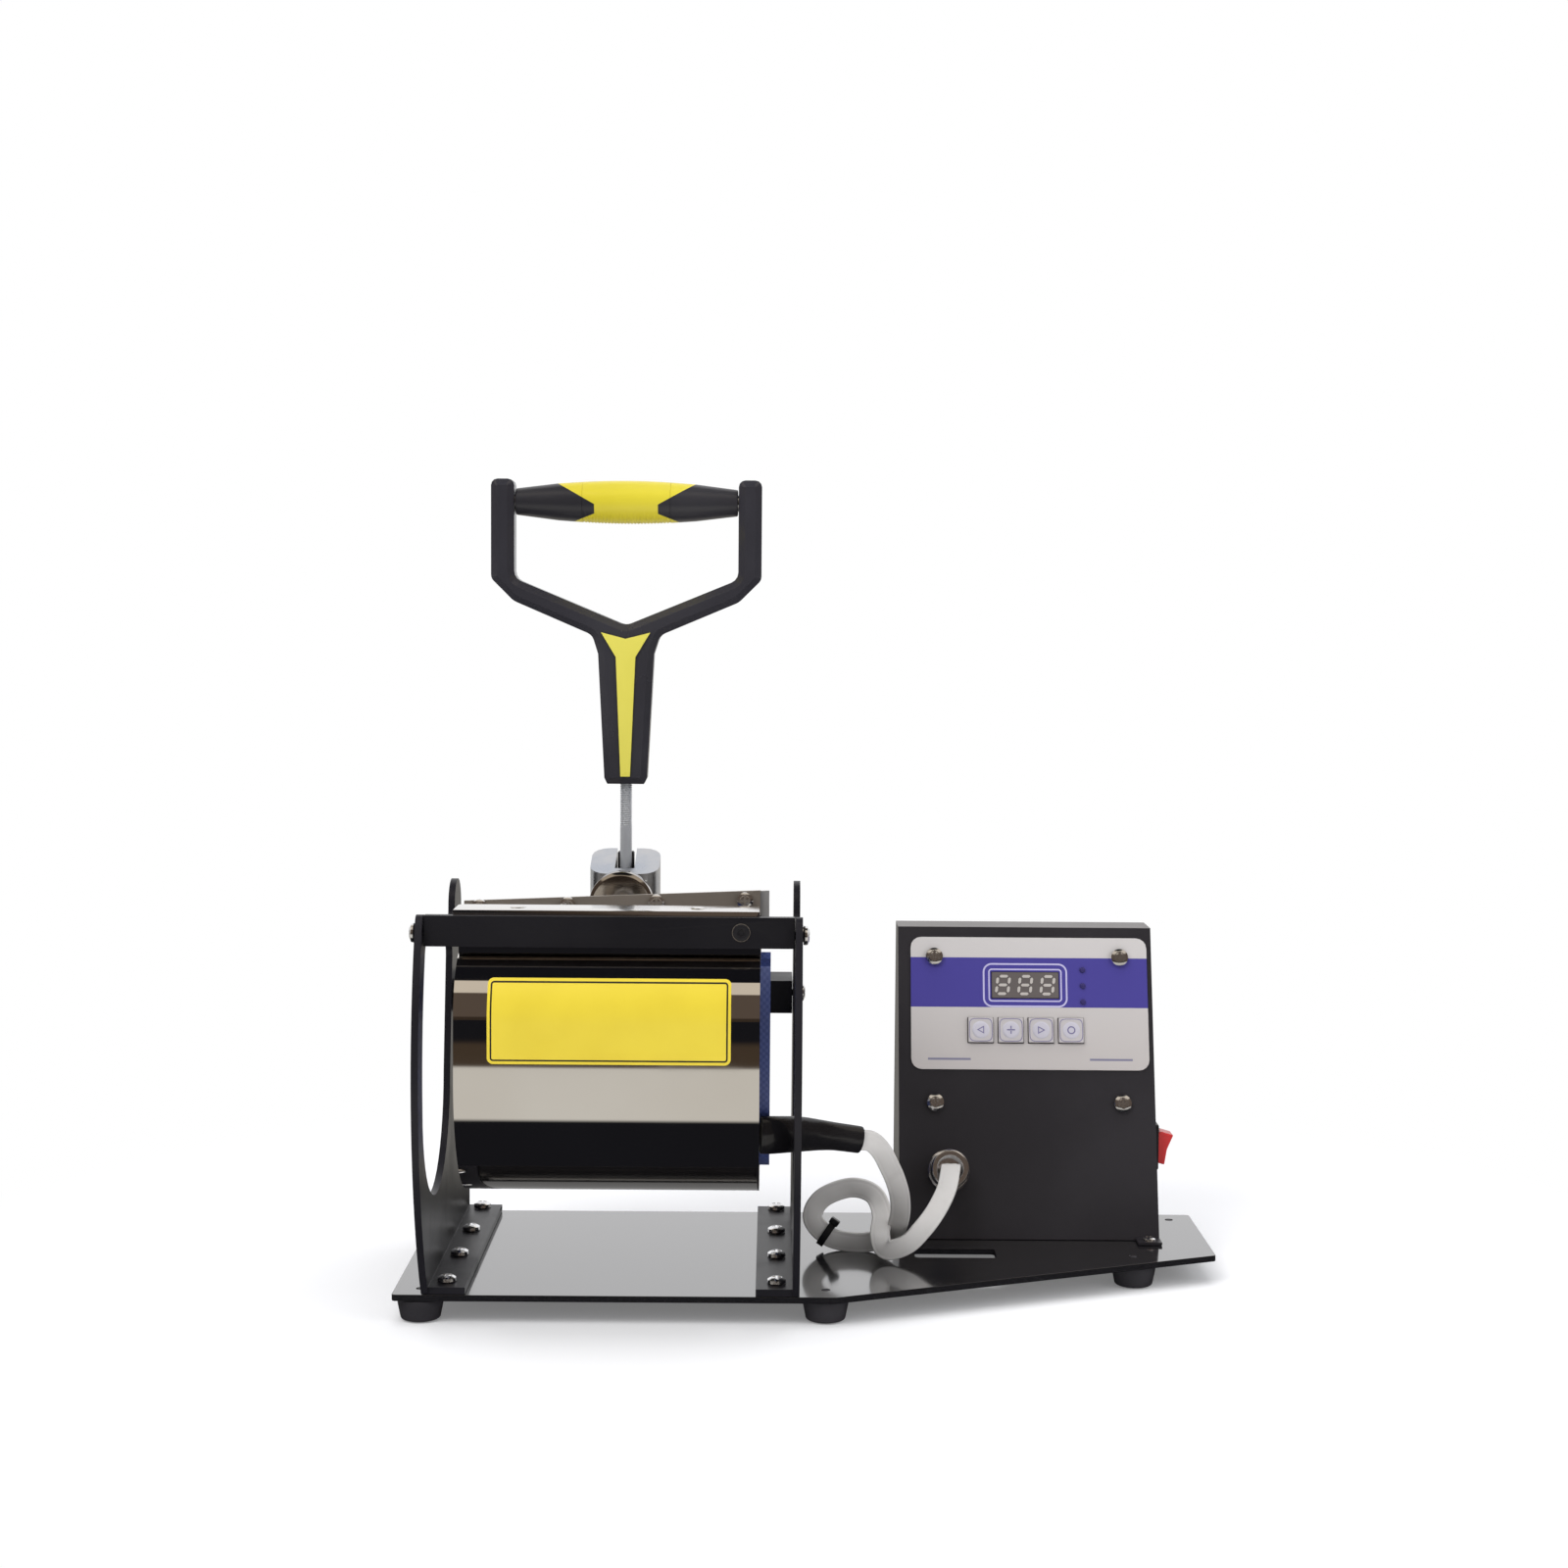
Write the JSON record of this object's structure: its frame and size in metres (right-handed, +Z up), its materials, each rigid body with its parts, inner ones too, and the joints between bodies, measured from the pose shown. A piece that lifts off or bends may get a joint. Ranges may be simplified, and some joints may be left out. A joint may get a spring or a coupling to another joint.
{
  "type": "mug heat press",
  "caption": "Mug heat press: a lever-closed round heater wrap between two side plates, with a D-grip lever and a leaning control box beside it on one base plate.",
  "frame": {"origin": "bottom centre of the whole object's box, on the surface that the feet stand on", "axes": "+Z up, -Y towards the user, +X to the user's right, where the control box stands"},
  "size_m": [0.364, 0.1986, 0.3628],
  "materials": {
    "black_paint": "fine textured semi-gloss powder coat",
    "deck_paint": "smooth semi-gloss paint",
    "bright_screw": "bright plated screw",
    "plated_brass": "nickel plated",
    "mirror_steel": "mirror polished stainless",
    "zinc_steel": "blue zinc plated",
    "plain_steel": "turned",
    "foot_rubber": "matte",
    "felt": "needled felt",
    "blue_silicone": "satin silicone",
    "grey_silicone": "satin silicone",
    "yellow_sheet": "glossy sheet",
    "yellow_plastic": "satin moulding",
    "black_plastic": "satin moulding",
    "sleeve_black": "heat-shrink",
    "cable_jacket": "satin jacket",
    "panel_sheet": "printed film",
    "key_grey": "moulded",
    "smoked_plastic": "polished",
    "switch_red": "moulded",
    "board": "solder mask"
  },
  "bodies": {
    "press": {"side_plate_left": "black_paint", "side_plate_right": "black_paint", "front_crossbar": "black_paint", "rear_crossbar": "black_paint", "rear_mid_bar": "black_paint", "box_front": "black_paint", "box_rear_cover": "black_paint", "base_plate": "deck_paint", "flange_screw_1": "bright_screw", "flange_screw_2": "bright_screw", "flange_screw_3": "bright_screw", "flange_screw_4": "bright_screw", "flange_screw_5": "bright_screw", "flange_screw_6": "bright_screw", "flange_screw_7": "bright_screw", "flange_screw_8": "bright_screw", "panel_socket": "plated_brass", "cable_plug": "plated_brass", "front_lip_strip": "mirror_steel", "shell_front": "mirror_steel", "lever_bracket": "zinc_steel", "pivot_pin": "plain_steel", "rubber_foot_1": "foot_rubber", "rubber_foot_2": "foot_rubber", "rubber_foot_3": "foot_rubber", "rubber_foot_4": "foot_rubber", "rubber_foot_5": "foot_rubber", "insulation_front": "felt", "heating_mat_front": "blue_silicone", "label_plate": "yellow_sheet", "rocker_bezel": "black_plastic", "mains_inlet": "black_plastic", "cable_sleeve": "sleeve_black", "cable_tie": "sleeve_black", "heater_cable": "cable_jacket", "panel_overlay": "panel_sheet", "display_window": "smoked_plastic", "control_board": "board"},
    "lever": {"lever_hub": "zinc_steel", "lever_rod": "zinc_steel", "handle_frame": "black_plastic", "handle_inlay": "yellow_plastic", "grip_core": "plain_steel", "grip_sleeve": "black_plastic", "grip_band": "yellow_plastic", "crank_pin": "plain_steel"},
    "link": {"push_link": "zinc_steel"},
    "pad": {"swivel_pad": "plain_steel"},
    "screw": {"pressure_screw": "plain_steel", "pressure_knob": "mirror_steel"},
    "wrap_rear": {"shell_rear": "mirror_steel", "insulation_rear": "felt", "heating_mat_rear": "blue_silicone", "rear_clamp_strip": "mirror_steel", "lip_gasket": "grey_silicone"},
    "rocker": {"rocker_button": "switch_red"},
    "key_1": {"key_1": "key_grey"},
    "key_2": {"key_2": "key_grey"},
    "key_3": {"key_3": "key_grey"},
    "key_4": {"key_4": "key_grey"}
  },
  "joints": [
    {"name": "lever_swing", "type": "hinge", "parent": "press", "child": "lever", "pos_m": [-0.0888, 0.03369, 0.167], "axis": [-1, 0, 0], "range_deg": [0, 75]},
    {"name": "wrap_open", "type": "hinge", "parent": "press", "child": "wrap_rear", "pos_m": [-0.0888, -0.03861, 0.0528], "axis": [-1, 0, 0], "range_deg": [0, 4.5]},
    {"name": "link_swing", "type": "hinge", "parent": "lever", "child": "link", "pos_m": [-0.0888, 0.02657, 0.1725], "axis": [-1, 0, 0], "range_deg": [-75, 0]},
    {"name": "pad_travel", "type": "slide", "parent": "link", "child": "pad", "axis": [0, 1, 0], "range_m": [0, 0.001]},
    {"name": "knob_turn", "type": "hinge", "parent": "pad", "child": "screw", "pos_m": [-0.0888, -0.03171, 0.1725], "axis": [0, 1, 0], "range_deg": [0, 378]},
    {"name": "rocker_tip", "type": "hinge", "parent": "press", "child": "rocker", "pos_m": [0.1616, 0.05739, 0.0521], "axis": [0, -1, 0], "range_deg": [0, 32]},
    {"name": "key_1_press", "type": "slide", "parent": "press", "child": "key_1", "axis": [0, 0.9511, -0.309], "range_m": [0, 0.0006], "stiffness_N_per_m": 400, "springref_m": -0.0006},
    {"name": "key_2_press", "type": "slide", "parent": "press", "child": "key_2", "axis": [0, 0.9511, -0.309], "range_m": [0, 0.0006], "stiffness_N_per_m": 400, "springref_m": -0.0006},
    {"name": "key_3_press", "type": "slide", "parent": "press", "child": "key_3", "axis": [0, 0.9511, -0.309], "range_m": [0, 0.0006], "stiffness_N_per_m": 400, "springref_m": -0.0006},
    {"name": "key_4_press", "type": "slide", "parent": "press", "child": "key_4", "axis": [0, 0.9511, -0.309], "range_m": [0, 0.0006], "stiffness_N_per_m": 400, "springref_m": -0.0006}
  ],
  "couplings": [
    {"joint": "wrap_open", "follows": "lever_swing", "ratio": 0.06},
    {"joint": "link_swing", "follows": "lever_swing", "ratio": -1},
    {"joint": "knob_turn", "follows": "pad_travel", "rad_per_m": 6283.2}
  ]
}
